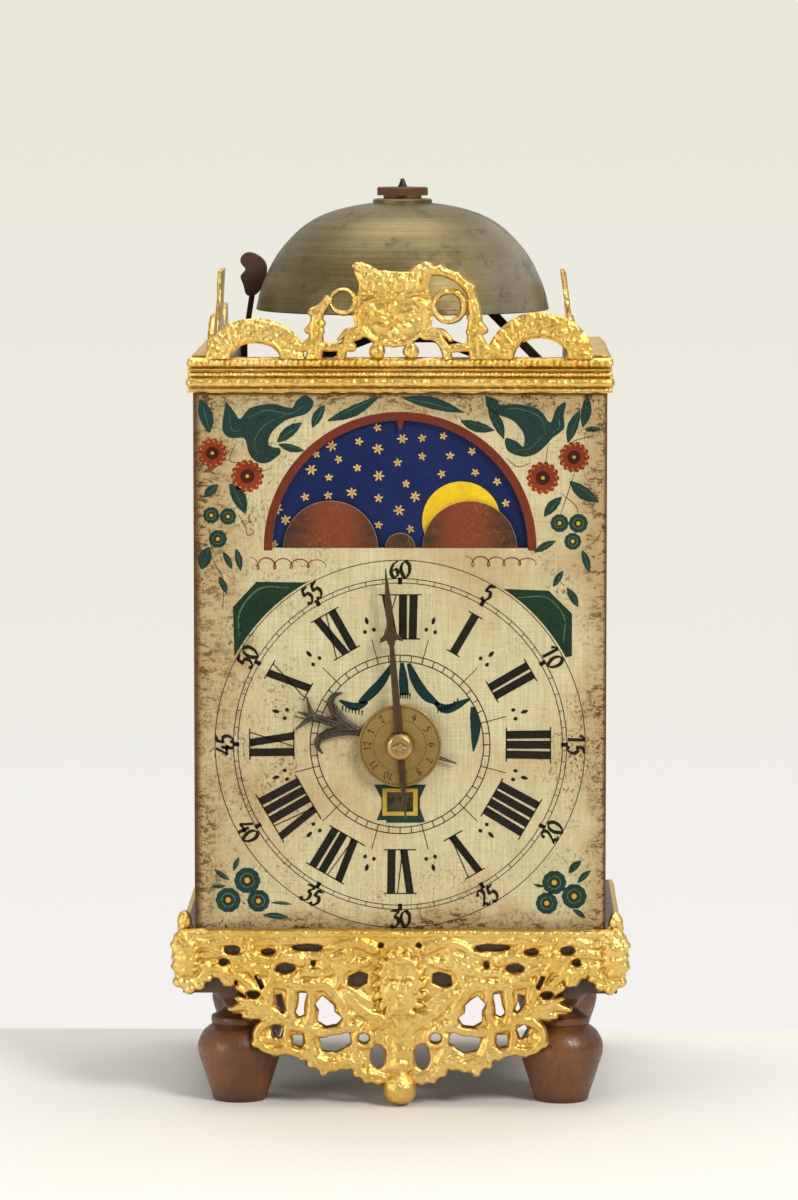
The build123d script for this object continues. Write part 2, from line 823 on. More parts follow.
# Anchor on its long arbor, with the crutch behind the back board
pallet_layer = escape_layer + train_wheel_thick / 2 - pallet_thick / 2
anchor_drop = anchor_height - third_height
nose_radius = escape_radius + anchor_clearance
with BuildPart() as anchor:
    rod(
        front_bar_depth + bar_thick + end_shake / 2,
        case_depth + crutch_gap + crutch_thick,
        slim_arbor_radius,
        0,
        anchor_height,
    )
    pivot_start = front_bar_depth + bar_thick + end_shake / 2
    rod(pivot_start - pivot_reach, pivot_start, pivot_radius, 0, anchor_height)
    for side in (-1, 1):
        nose = polar(nose_radius + 0.4, 90 - side * 45)
        nose = (nose[0], nose[1] - anchor_drop)
        elbow = (nose[0] + side * 1.6, nose[1] + 5)
        slab(
            strip(upright(pallet_layer, 0, anchor_height), [(0, 0), (side * 7, 0.5), elbow], 3),
            pallet_thick,
        )
        face = patch(
            upright(pallet_layer, 0, anchor_height),
            [
                (nose[0] - side * 0.2, nose[1]),
                (nose[0] + side * 1.6, nose[1] + 0.8),
                (elbow[0] + side * 1.2, elbow[1]),
                (elbow[0] - side * 1.2, elbow[1]),
            ],
        )
        slab(face, pallet_thick)
    rod(pallet_layer - 2, pallet_layer + pallet_thick + 2, hub_radius - 1, 0, anchor_height)
    plane = upright(case_depth + crutch_gap, 0, anchor_height)
    slab(strip(plane, [(0, 0), (0, -crutch_length)], crutch_width), crutch_thick)
    rod(
        case_depth + crutch_gap + crutch_thick,
        case_depth + crutch_gap + crutch_thick + fork_length,
        fork_radius,
        0,
        anchor_height - crutch_length,
    )
finish(anchor, "anchor")


# Strike great wheel, with the hammer pins and the count wheel's pinion
count_pinion_lead = meshed_lead(count_teeth, 0, 180, pinion_leaves)
with BuildPart() as strike_great_wheel:
    slab(toothed(upright(strike_great_layer, 0, great_height), great_module, great_teeth), wheel_thick)
    gaps = crossings(
        upright(strike_great_layer, 0, great_height), hub_radius + 2, lifting_pin_circle - rim_width
    )
    slab(gaps, wheel_thick, Mode.SUBTRACT)
    with BuildSketch(upright(strike_great_layer + wheel_thick, 0, great_height)):
        with PolarLocations(lifting_pin_circle, lifting_pins, start_angle=180 / lifting_pins):
            Circle(lifting_pin_radius)
    extrude(amount=-lifting_pin_length)
    strike_front = middle_bar_depth + bar_thick + end_shake / 2
    strike_back = rear_bar_depth - end_shake / 2
    rod(strike_front, strike_back, great_arbor_radius, 0, great_height)
    rod(strike_front - pivot_reach, strike_front, pivot_radius, 0, great_height)
    rod(strike_back, count_layer + train_wheel_thick + layer_gap, centre_stud_radius, 0, great_height)
    leaves = toothed(
        upright(count_layer - layer_gap, 0, great_height), count_module, pinion_leaves, count_pinion_lead
    )
    slab(leaves, train_wheel_thick + 2 * layer_gap)
finish(strike_great_wheel, "strike_great_wheel")

with BuildPart() as strike_sprocket:
    sprocket_body(strike_sprocket_depth)
finish(strike_sprocket, "strike_sprocket")


# Hoop wheel, whose hoop has one gap for the detent
hoop_gap = 2 * hoop_radius * math.sin(math.radians(hoop_gap_angle / 2))
with BuildPart() as hoop_wheel:
    pivoted(middle_bar_depth, rear_bar_depth, arbor_radius, 0, second_height)
    plane = upright(strike_great_layer - pinion_overlap, 0, second_height)
    slab(toothed(plane, great_module, pinion_leaves, second_pinion_lead), wheel_thick + 2 * pinion_overlap)
    plane = upright(hoop_layer, 0, second_height)
    slab(toothed(plane, train_module, train_teeth), train_wheel_thick)
    slab(crossings(plane, hub_radius, hoop_radius - hoop_thick - 1), train_wheel_thick, Mode.SUBTRACT)
    with BuildSketch(upright(hoop_layer + train_wheel_thick, 0, second_height)) as hoop:
        Circle(hoop_radius)
        Circle(hoop_radius - hoop_thick, mode=Mode.SUBTRACT)
        with Locations(polar(hoop_radius, 0)):
            Rectangle(2 * hoop_thick + 2, hoop_gap, mode=Mode.SUBTRACT)
    slab(hoop.sketch, hoop_height)
finish(hoop_wheel, "hoop_wheel")


# Fly, with two vanes in one plate
with BuildPart() as fly:
    pivoted(middle_bar_depth, rear_bar_depth, arbor_radius, 0, third_height)
    leaves = toothed(
        upright(hoop_layer - pinion_overlap, 0, third_height), train_module, pinion_leaves, third_pinion_lead
    )
    slab(leaves, train_wheel_thick + 2 * pinion_overlap)
    fly_start = hoop_layer - pinion_overlap - layer_gap - fly_length
    with BuildSketch(upright(fly_start, 0, third_height)):
        Rectangle(2 * fly_radius, fly_thick, rotation=30)
    extrude(amount=-fly_length)
finish(fly, "fly")


# Count wheel, whose notched rim sets how many blows are struck
count_steps = range(1, 13)
with BuildPart() as count_wheel:
    plane = upright(count_layer, count_centres, great_height)
    slab(toothed(plane, count_module, count_teeth), train_wheel_thick)
    slab(crossings(plane, hub_radius, count_rim_inner - 1), train_wheel_thick, Mode.SUBTRACT)
    with BuildSketch(upright(count_layer + train_wheel_thick, count_centres, great_height)) as rim:
        Circle(count_rim_outer)
        Circle(count_rim_inner, mode=Mode.SUBTRACT)
        for hour in count_steps:
            blows = hour * (hour + 1) / 2
            with PolarLocations(count_rim_outer, 1, start_angle=90 - 360 * blows / count_teeth):
                Rectangle(count_rim_outer - count_rim_inner, count_notch, mode=Mode.SUBTRACT)
    slab(rim.sketch, count_rim_depth)
    count_back = count_layer + train_wheel_thick
    bore = centre_stud_radius + running_fit
    rod(count_layer, count_back, bore, count_centres, great_height, Mode.SUBTRACT)
finish(count_wheel, "count_wheel")


# Detent, with one arm over the hoop and one over the count wheel's rim
with BuildPart() as strike_detent:
    detent_front = middle_bar_depth + bar_thick + end_shake / 2
    rod(detent_front - pivot_reach, detent_front, pivot_radius, detent_across, detent_height)
    nose_layer = count_layer + train_wheel_thick + layer_gap
    nose_back = nose_layer + count_rim_depth - layer_gap
    rod(detent_front, nose_back, slim_arbor_radius, detent_across, detent_height)
    nose_drop = detent_height - great_height - count_rim_outer - seat_gap
    nose = strip(
        upright(nose_layer, detent_across, detent_height),
        [(0, 0), (count_centres - detent_across, -nose_drop + detent_arm / 2)],
        detent_arm,
    )
    slab(nose, count_rim_depth - layer_gap)
    lock_layer = hoop_layer + train_wheel_thick + layer_gap
    lock_reach = hoop_radius + train_module * 4 + detent_arm / 2 + seat_gap
    lock = strip(
        upright(lock_layer, detent_across, detent_height),
        [(0, 0), (lock_reach - detent_across, second_height - detent_height + detent_arm)],
        detent_arm,
    )
    slab(lock, train_wheel_thick)
finish(strike_detent, "strike_detent")


# Strike hammer: tail, bent stem and two-lobed head beside the bell
head_outline = [
    (-1.3, -2.0), (2.6, -0.6), (5.2, 4.2), (6.9, 9.6), (6.2, 13.8), (2.2, 17.6),
    (-2.6, 18.6), (-5.4, 16.4), (-5.2, 13.2), (-3.4, 10.6), (-5.4, 8.0), (-4.4, 3.4),
]
neck_across = -bell_radius - neck_bell_gap
neck_height = bell_rim + neck_rim_lift
with BuildPart() as strike_hammer:
    pivoted(middle_bar_depth, rear_bar_depth, hammer_arbor_radius, hammer_across, hammer_height)
    stem_plane = upright(hammer_depth - hammer_stem_thick / 2, hammer_across, hammer_height)
    stem_points = [
        (0, 0),
        (stem_top_across - hammer_across, case_top - hammer_height - 1),
        (stem_top_across - hammer_across, board_top - hammer_height + 1),
        (neck_across - hammer_across, neck_height - hammer_height),
    ]
    slab(strip(stem_plane, stem_points, hammer_stem_width), hammer_stem_thick)
    tail_depth = strike_great_layer + wheel_thick + layer_gap
    tail_reach = -lifting_pin_circle - lifting_pin_radius - detent_arm / 2 - seat_gap - hammer_across
    tail = strip(
        upright(tail_depth, hammer_across, hammer_height),
        [(0, 0), (tail_reach, great_height - hammer_height)],
        detent_arm,
    )
    slab(tail, lifting_pin_length - 2 * layer_gap)
    head_plane = upright(hammer_depth - hammer_head_thick / 2, neck_across, neck_height)
    slab(lobe(head_plane, head_outline), hammer_head_thick)
    rod(
        hammer_depth - hammer_head_thick / 2, hammer_depth + hammer_head_thick / 2,
        hammer_arbor_radius + 2, hammer_across, hammer_height,
    )
finish(strike_hammer, "strike_hammer")


# Check spring, a blade that holds the resting hammer off the bell
spring_foot = hammer_across + 14
spring_touch = 30.0
with BuildPart() as hammer_spring:
    lean = (stem_top_across - hammer_across) * spring_touch / (case_top - hammer_height)
    touch_across = hammer_across + lean + hammer_stem_width / 2 + seat_gap + spring_thick / 2
    blade = strip(
        upright(hammer_depth - spring_width / 2),
        [
            (spring_foot, base_top + spring_thick / 2),
            (spring_foot, hammer_height + spring_touch / 3),
            (touch_across, hammer_height + spring_touch),
        ],
        spring_thick,
    )
    slab(blade, spring_width)
    with Locations((spring_foot, dial_face + hammer_depth, base_top)):
        Box(3 * spring_width, 2 * spring_width, 2 * spring_thick, align=LOW)
finish(hammer_spring, "hammer_spring")


# Alarm crown wheel, with its rope pulley behind the rear bar
crown_front = middle_bar_depth + bar_thick + crown_offset
crown_pitch = 2 * math.pi * crown_radius / crown_teeth
with BuildPart() as alarm_wheel:
    rod(crown_front, crown_front + crown_depth, crown_radius, 0, alarm_height)
    cup_radius = crown_radius - crown_wall
    cup_floor = crown_front + crown_wall
    rod(cup_floor, crown_front + crown_depth, cup_radius, 0, alarm_height, Mode.SUBTRACT)
    plane = upright(crown_front, 0, alarm_height)
    slab(crossings(plane, hub_radius, cup_radius - crown_wall), crown_wall, Mode.SUBTRACT)
    with BuildSketch(upright(crown_front + crown_depth - crown_tooth_depth, 0, alarm_height)):
        with PolarLocations(crown_radius, crown_teeth):
            Rectangle(4 * crown_wall, crown_gap_share * crown_pitch)
    extrude(amount=-crown_tooth_depth, mode=Mode.SUBTRACT)
    alarm_start = middle_bar_depth + bar_thick + end_shake / 2
    alarm_stop = case_depth - back_thick - end_shake / 2
    rod(alarm_start - pivot_reach, alarm_start, pivot_radius, 0, alarm_height)
    rod(alarm_start, alarm_stop, slim_arbor_radius, 0, alarm_height)
    rod(alarm_stop, alarm_stop + pivot_reach, pivot_radius, 0, alarm_height)
    rod(pulley_depth, pulley_depth + pulley_width, pulley_radius, 0, alarm_height)
    with BuildSketch(upright(pulley_depth + pulley_width / 2 - pulley_groove, 0, alarm_height)) as ring:
        Circle(pulley_radius + 1)
        Circle(pulley_radius - pulley_groove, mode=Mode.SUBTRACT)
    slab(ring.sketch, 2 * pulley_groove, Mode.SUBTRACT)
finish(alarm_wheel, "alarm_wheel")


# Alarm hammer on its upright verge, with two pallets beside the crown wheel
verge_low = cock_height + cock_thick + end_shake / 2
verge_top = bell_rim + verge_rim_lift
alarm_arm_length = bell_radius - bell_wall - alarm_head_radius - alarm_head_gap + verge_across
pallet_lift = crown_radius - crown_wall
pallet_turn = 45.0
with BuildPart() as alarm_hammer:
    with BuildSketch(Plane.XY.offset(verge_low)):
        with Locations((verge_across, verge_deep)):
            Circle(verge_radius)
    extrude(amount=verge_top - verge_low)
    with BuildSketch(Plane.XY.offset(verge_low)):
        with Locations((verge_across, verge_deep)):
            Circle(pivot_radius)
    extrude(amount=-pivot_reach)
    for side in (-1, 1):
        with BuildSketch(Plane.XY.offset(alarm_height + side * pallet_lift - verge_pallet_height / 2)):
            with Locations((verge_across, verge_deep)):
                Rectangle(2 * pallet_reach, hoop_thick, rotation=side * pallet_turn)
        extrude(amount=verge_pallet_height)
    with BuildSketch(Plane.XY.offset(verge_top - 2 * verge_radius)):
        with Locations((verge_across - alarm_arm_length / 2, verge_deep)):
            SlotCenterToCenter(alarm_arm_length, 2 * verge_radius)
    extrude(amount=2 * verge_radius)
    with Locations((verge_across - alarm_arm_length, verge_deep, verge_top - verge_radius)):
        Sphere(alarm_head_radius)
finish(alarm_hammer, "alarm_hammer")


# Minute pipe: the cannon with its wheel, its pinion and a squared front end
hour_hand_back = -hour_hand_lift
hour_hand_front = hour_hand_back - hand_thick
alarm_back = hour_hand_front - alarm_disc_gap
alarm_front = alarm_back - alarm_disc_thick
minute_hand_back = alarm_front - minute_hand_gap
minute_hand_front = minute_hand_back - minute_hand_thick
collet_front = minute_hand_front - collet_height
square_front = collet_front - square_length
bore_front = -hour_hand_lift - layer_gap / 2
minute_pinion_lead = meshed_lead(minute_teeth, 0, minute_wheel_angle + 180, minute_leaves)
with BuildPart() as minute_pipe:
    rod(minute_hand_front, front_bar_depth - layer_gap, cannon_radius, 0, hands_height)
    with BuildSketch(upright(square_front, 0, hands_height)):
        Rectangle(2 * square_half, 2 * square_half, rotation=45)
    extrude(amount=-square_length - collet_height)
    plane = upright(cannon_layer, 0, hands_height)
    slab(toothed(plane, motion_module, motion_teeth, cannon_wheel_lead), motion_thick)
    plane = upright(minute_layer, 0, hands_height)
    slab(toothed(plane, minute_module, minute_leaves, minute_pinion_lead), motion_thick)
    rod(bore_front, front_bar_depth, centre_stud_radius + running_fit, 0, hands_height, Mode.SUBTRACT)
    pin_height = (square_front + collet_front) / 2
    with BuildSketch(Plane.YZ.offset(-square_half * 2)):
        with Locations((dial_face + pin_height, hands_height)):
            Circle(hand_pin_radius + running_fit)
    extrude(amount=square_half * 4, mode=Mode.SUBTRACT)
finish(minute_pipe, "minute_pipe")


# Minute wheel with the pinion that drives the hour wheel
hour_pinion_lead = meshed_lead(hour_teeth, 0, minute_wheel_angle, hour_leaves)
with BuildPart() as minute_wheel:
    plane = upright(minute_layer, minute_wheel_across, minute_wheel_height)
    slab(toothed(plane, minute_module, minute_teeth), motion_thick)
    plane = upright(hour_layer, minute_wheel_across, minute_wheel_height)
    slab(toothed(plane, hour_module, hour_leaves, hour_pinion_lead), motion_pitch)
    rod(
        hour_layer, minute_layer + motion_thick, centre_stud_radius + running_fit,
        minute_wheel_across, minute_wheel_height, Mode.SUBTRACT,
    )
finish(minute_wheel, "minute_wheel")


# Hour wheel, its pipe, the moon pinion and the date pin
with BuildPart() as hour_wheel:
    rod(alarm_front - layer_gap / 2, hour_layer + motion_thick, hour_pipe_radius, 0, hands_height)
    slab(toothed(upright(hour_layer, 0, hands_height), hour_module, hour_teeth), motion_thick)
    slab(toothed(upright(moon_gear_depth, 0, hands_height), moon_module, moon_leaves), moon_thick)
    rod(date_depth - layer_gap / 2, hour_layer, date_pin_radius, date_pin_circle, hands_height)
    rod(
        alarm_front - layer_gap / 2, hour_layer + motion_thick, cannon_radius + running_fit,
        0, hands_height, Mode.SUBTRACT,
    )
finish(hour_wheel, "hour_wheel")


# Moon driver: a gear, with two fingers in front that move the moon disc on twice a day
driver_lead = meshed_lead(moon_leaves, 0, moon_driver_angle, moon_driver_teeth)
finger_turn = math.degrees(math.atan2(moon_height - driver_height, -driver_across))
with BuildPart() as moon_driver:
    plane = upright(moon_gear_depth, driver_across, driver_height)
    slab(toothed(plane, moon_module, moon_driver_teeth, driver_lead), moon_thick)
    with BuildSketch(upright(moon_depth, driver_across, driver_height)):
        Rectangle(2 * moon_finger_reach, moon_finger_width, rotation=finger_turn + 90)
        Circle(hub_radius)
    extrude(amount=-moon_thick)
    driver_back = moon_gear_depth + moon_thick
    bore = dial_stud_radius + running_fit
    rod(moon_depth, driver_back, bore, driver_across, driver_height, Mode.SUBTRACT)
finish(moon_driver, "moon_driver")


# Moon disc and date disc behind the dial
with BuildPart() as moon_disc:
    plane = upright(moon_depth, 0, moon_height)
    slab(notched(plane, moon_radius, moon_radius + moon_tooth_height, moon_teeth, 0), moon_thick)
    rod(moon_depth, moon_depth + moon_thick, dial_stud_radius + running_fit, 0, moon_height, Mode.SUBTRACT)
finish(moon_disc, "moon_disc")

with BuildPart() as date_disc:
    plane = upright(date_depth, 0, date_height)
    slab(notched(plane, date_radius, date_radius + date_tooth_height, date_teeth, 0), date_thick)
    rod(date_depth, date_depth + date_thick, dial_stud_radius + running_fit, 0, date_height, Mode.SUBTRACT)
finish(date_disc, "date_disc")


def hand_plane(depth, angle):
    """Plane whose first axis runs along a hand."""
    along = (math.cos(math.radians(angle)), 0, math.sin(math.radians(angle)))
    return Plane(origin=(0, dial_face + depth, hands_height), x_dir=along, z_dir=(0, -1, 0))


# Minute hand: barbed arrow on a tapered blade
with BuildPart() as minute_hand:
    plane = hand_plane(minute_hand_front, minute_hand_angle)
    half_outline = [
        (-minute_hand_tail, 0.4),
        (-0.4 * minute_hand_tail, 1.6),
        (0, 2.0),
        (0.46 * minute_hand_reach, 1.5),
        (0.56 * minute_hand_reach, 1.0),
        (0.60 * minute_hand_reach, 2.4),
        (0.585 * minute_hand_reach, 6.0),
        (0.645 * minute_hand_reach, 3.0),
        (0.68 * minute_hand_reach, 1.5),
        (0.82 * minute_hand_reach, 1.6),
        (minute_hand_reach, 0.3),
    ]
    mirrored = [(x, -y) for x, y in reversed(half_outline)]
    slab(patch(plane, half_outline + mirrored), minute_hand_thick)
    rod(minute_hand_front, minute_hand_back, collet_radius - 0.6, 0, hands_height)
    rod(minute_hand_front, minute_hand_back, cannon_radius + running_fit, 0, hands_height, Mode.SUBTRACT)
finish(minute_hand, "minute_hand")


# Hour hand: crossed prongs, two curled leaves and a pointed tail
hour_leaf = [(20, 0), (27, 2.2), (33, 5), (36.4, 9), (36, 12.5), (33, 14.6)]
with BuildPart() as hour_hand:
    plane = hand_plane(hour_hand_front, hour_hand_angle)
    blade = [
        (-hour_hand_tail, 0.3),
        (-0.6 * hour_hand_tail, 1.6),
        (0, 2.2),
        (0.6 * hour_hand_reach, 1.8),
        (0.84 * hour_hand_reach, 1.5),
        (hour_hand_reach, 0.5),
    ]
    slab(patch(plane, blade + [(x, -y) for x, y in reversed(blade)]), hand_thick)
    cross = 0.84 * hour_hand_reach
    for side in (-1, 1):
        prong = [(cross, 0), (cross + 3, side * 3), (cross + 6, side * 7.6)]
        slab(curl(plane, prong, hour_leaf_width, hour_leaf_tip), hand_thick)
        leaf = [(x, side * y) for x, y in hour_leaf]
        slab(curl(plane, leaf, hour_leaf_width, hour_leaf_tip, hour_leaf_belly), hand_thick)
    rod(hour_hand_front, hour_hand_back, alarm_disc_radius / 2, 0, hands_height)
    rod(hour_hand_front, hour_hand_back, hour_pipe_radius + running_fit, 0, hands_height, Mode.SUBTRACT)
finish(hour_hand, "hour_hand")


# Alarm disc on the hour pipe
with BuildPart() as alarm_disc:
    rod(alarm_front, alarm_back, alarm_disc_radius, 0, hands_height)
    rod(alarm_front, alarm_back, hour_pipe_radius + running_fit, 0, hands_height, Mode.SUBTRACT)
    front_edges = alarm_disc.edges().filter_by(GeomType.CIRCLE).group_by(Axis.Y)[0]
    fillet(front_edges.sort_by(SortBy.RADIUS)[-1], radius=alarm_disc_round)
finish(alarm_disc, "alarm_disc")


# Domed collet over the minute hand and the pin through the square
with BuildPart() as hand_collet:
    rod(collet_front, minute_hand_front, collet_radius, 0, hands_height)
    front_edge = hand_collet.edges().group_by(Axis.Y)[0]
    fillet(front_edge, radius=0.8 * collet_height)
    with BuildSketch(upright(collet_front, 0, hands_height)):
        side = 2 * (square_half + running_fit)
        Rectangle(side, side, rotation=45)
    extrude(amount=-collet_height, mode=Mode.SUBTRACT)
finish(hand_collet, "hand_collet")

with BuildPart() as hand_pin:
    with BuildSketch(Plane.YZ.offset(-hand_pin_length / 2)):
        with Locations((dial_face + pin_height, hands_height)):
            Circle(hand_pin_radius)
    extrude(amount=hand_pin_length)
finish(hand_pin, "hand_pin")


# Side doors, their panes, knobs and pintles
door_low = base_top + door_end_gap
door_high = case_top - door_end_gap
door_length = door_rear - door_front
door_middle = (door_front + door_rear) / 2
pane_width = door_length - 2 * door_frame
pane_height = door_high - door_low - 2 * door_frame
for side_name, side in {"left": -1, "right": 1}.items():
    with BuildPart() as door:
        with Locations((side * (door_inner + door_outer) / 2, door_middle, door_low)):
            Box(door_thick, door_length, door_high - door_low, align=LOW)
        with BuildSketch(Plane.YZ.offset(side * (door_inner + door_outer) / 2)):
            with Locations((door_middle, (door_low + door_high) / 2)):
                Rectangle(pane_width, pane_height)
        extrude(amount=door_thick, both=True, mode=Mode.SUBTRACT)
        with BuildSketch(Plane.YZ.offset(side * (door_inner + door_outer) / 2)):
            with Locations((door_middle, (door_low + door_high) / 2)):
                Rectangle(pane_width + 2 * pane_groove, pane_height + 2 * pane_groove)
        extrude(amount=pane_thick / 2 + running_fit, both=True, mode=Mode.SUBTRACT)
        for start, length in ((door_low, pintle_reach + seat_gap), (door_high, -pintle_reach - seat_gap)):
            with BuildSketch(Plane.XY.offset(start)):
                with Locations((side * pintle_across, pintle_deep)):
                    Circle(pintle_radius + running_fit)
            extrude(amount=length, mode=Mode.SUBTRACT)
        knob_deep = door_front + knob_inset
        with BuildSketch(Plane.YZ.offset(side * door_outer)):
            with Locations((knob_deep, base_top + knob_height)):
                Circle(knob_stem_radius + running_fit)
        extrude(amount=-side * (door_thick - 1), mode=Mode.SUBTRACT)
    finish(door, f"{side_name}_door")

    with BuildPart() as pane:
        with BuildSketch(Plane.YZ.offset(side * (door_inner + door_outer) / 2)):
            with Locations((door_middle, (door_low + door_high) / 2)):
                Rectangle(pane_width + 2 * pane_groove - seat_gap, pane_height + 2 * pane_groove - seat_gap)
        extrude(amount=pane_thick / 2, both=True)
    finish(pane, f"{side_name}_pane")

    with BuildPart() as knob:
        with BuildSketch(Plane.YZ.offset(side * door_outer)):
            with Locations((knob_deep, base_top + knob_height)):
                Circle(knob_radius)
        extrude(amount=side * knob_length, taper=knob_taper)
        with BuildSketch(Plane.YZ.offset(side * door_outer)):
            with Locations((knob_deep, base_top + knob_height)):
                Circle(knob_stem_radius)
        extrude(amount=-side * (door_thick - 1 - seat_gap))
    finish(knob, f"{side_name}_knob")

with BuildPart() as door_pintles:
    for start in (base_top - pintle_reach, case_top - pintle_reach):
        with BuildSketch(Plane.XY.offset(start)):
            with Locations((-pintle_across, pintle_deep), (pintle_across, pintle_deep)):
                Circle(pintle_radius)
        extrude(amount=2 * pintle_reach)
finish(door_pintles, "door_pintles")


# Bell, an open dome with an even wall
bell_shape = [
    (1.0, 0.0), (0.964, 0.20), (0.887, 0.43), (0.80, 0.60),
    (0.668, 0.77), (0.537, 0.87), (0.384, 0.935), (0.208, 0.975),
]
crown_top = bell_top + bell_boss_height


def dome(radius, height, rise):
    """Half section of the bell, from its rim to its crown."""
    points = [(share * radius, rise + lift * height) for share, lift in bell_shape]
    with BuildSketch(Plane.XZ) as section:
        with BuildLine():
            Spline(*points, (0, rise + height), tangents=((-0.2, 1), (-1, 0)))
            Polyline((0, rise + height), (0, rise), (radius, rise))
        make_face()
    return section.sketch


with BuildPart() as bell:
    add(dome(bell_radius, bell_height, bell_rim))
    revolve(axis=Axis.Z)
    with BuildSketch(Plane.XY.offset(bell_top - bell_wall / 2)):
        Circle(bell_boss_radius)
    extrude(amount=bell_wall / 2 + bell_boss_height)
    fillet(bell.edges().group_by(Axis.Z)[-1], radius=bell_boss_height / 2)
    hollow = dome(bell_radius - bell_wall, bell_height - bell_wall, bell_rim)
    revolve(hollow, axis=Axis.Z, mode=Mode.SUBTRACT)
    with BuildSketch(Plane.XY.offset(crown_top)):
        Circle(stand_radius + running_fit)
    extrude(amount=-2 * bell_wall, mode=Mode.SUBTRACT)
finish(bell, "bell")


# Bell stand: bridge over the board, upright post with its screw, and a slanting strap
crown_inside = bell_top - bell_wall - seat_gap
bridge_top = pocket_floor + bridge_height + strap_thick
strap_half = strap_thick / 2
strap_end = pocket_half - strap_foot_gap - strap_half
washer_top = crown_top + washer_thick
nut_top = washer_top + nut_thick
strap_start = crown_inside - strap_start_drop
with BuildPart() as bell_stand:
    with BuildSketch(Plane.XZ.offset(-strap_width / 2)):
        with BuildLine(mode=Mode.PRIVATE) as bridge_path:
            Polyline(
                (-bridge_half_span - strap_foot_length, pocket_floor + strap_half),
                (-bridge_half_span, pocket_floor + strap_half),
                (-bridge_flat_half, bridge_top - strap_half),
                (bridge_flat_half, bridge_top - strap_half),
                (bridge_half_span, pocket_floor + strap_half),
            )
        SlotArc(bridge_path.wire(), strap_thick)
        with BuildLine(mode=Mode.PRIVATE) as strap_path:
            Polyline(
                (0, strap_start),
                (strap_end - strap_foot_length, pocket_floor + strap_half),
                (strap_end, pocket_floor + strap_half),
            )
        SlotArc(strap_path.wire(), strap_thick)
    extrude(amount=strap_width)
    with BuildSketch(Plane.XY.offset(bridge_top - strap_half)):
        Circle(stand_shoulder_radius)
    extrude(amount=crown_inside - bridge_top + strap_half)
    with BuildSketch(Plane.XY.offset(crown_inside)):
        Circle(stand_radius)
    extrude(amount=nut_top - crown_inside)
    with BuildSketch(Plane.XY.offset(nut_top)):
        Circle(stand_radius)
    extrude(amount=screw_point, taper=screw_taper)
finish(bell_stand, "bell_stand")

with BuildPart() as bell_washer:
    with BuildSketch(Plane.XY.offset(crown_top)):
        Circle(washer_radius)
        Circle(stand_radius + running_fit, mode=Mode.SUBTRACT)
    extrude(amount=washer_thick)
finish(bell_washer, "bell_washer")

with BuildPart() as bell_nut:
    with BuildSketch(Plane.XY.offset(washer_top)):
        Rectangle(nut_side, nut_side, rotation=nut_turn)
    extrude(amount=nut_thick)
    chamfer(bell_nut.edges().group_by(Axis.Z)[-1], length=nut_edge)
    with BuildSketch(Plane.XY.offset(washer_top)):
        Circle(stand_radius + running_fit)
    extrude(amount=nut_thick, mode=Mode.SUBTRACT)
finish(bell_nut, "bell_nut")


def moulding_section(plane, depth):
    """Cornice profile: three rounded ridges on a flat back."""
    step = top_thick / 3
    with BuildSketch(plane) as section:
        with Locations((0, top_thick / 2)):
            Rectangle(depth - moulding_ridge, top_thick, align=(Align.MIN, Align.CENTER))
        for ridge in range(3):
            with Locations((depth - moulding_ridge, step * (ridge + 0.5))):
                Ellipse(moulding_ridge, step / 2)
    return section.sketch


def arch(plane, across, half_width, rise, opening_half, opening_rise):
    """Half-round arch standing on the moulding, with a smaller arch cut in it."""
    with BuildSketch(plane) as shape:
        with Locations((across, 0)):
            Ellipse(half_width, rise)
            Ellipse(opening_half, opening_rise, mode=Mode.SUBTRACT)
            Rectangle(2 * half_width, rise, align=(Align.CENTER, Align.MAX), mode=Mode.SUBTRACT)
    return shape.sketch


# Front crest: cornice moulding, two arches, figures with rings and the cartouche
crest_drawn = (95.0, 1.0)
crest_real = (half_dial, 1.0)
cartouche_middle = -3.0
cartouche_half = [
    (0, 4.6), (6.5, 6.6), (13.0, 9.4), (17.2, 13.0), (18.2, 18.5), (17.2, 26.0),
    (15.8, 33.5), (17.6, 38.0), (18.8, 42.6), (14.5, 44.0), (10.5, 42.5), (7.0, 39.8), (0, 39.8),
]
crest_curls = [
    ([(-39.5, -0.5), (-38.4, 8), (-38.2, 16), (-37.5, 22), (-33, 26.5)], 8.0, 3.4),
    ([(36, -0.5), (34.6, 8), (34.2, 16), (33.4, 26)], 8.8, 5.0),
    ([(12, 40.5), (20, 39.3), (27, 36), (32, 31), (34.2, 24), (34.0, 19)], 3.8, 3.6),
    ([(-44, 5.0), (-33, 5.2), (-22, 5.0)], 4.0, 4.0),
    ([(22, 4.4), (32, 4.8), (42, 4.4)], 3.4, 3.4),
    ([(-17, 12), (-22, 10), (-26, 5), (-27, -0.5)], 4.8, 4.0),
    ([(11, 11), (16, 10), (20, 6), (22, -0.5)], 4.8, 4.0),
]
crest_rings = [(-26.2, 26.0, 6.5, 4.5), (22.4, 23.9, 8.5, 5.6)]
crest_balls = [-10.4, 4.9]
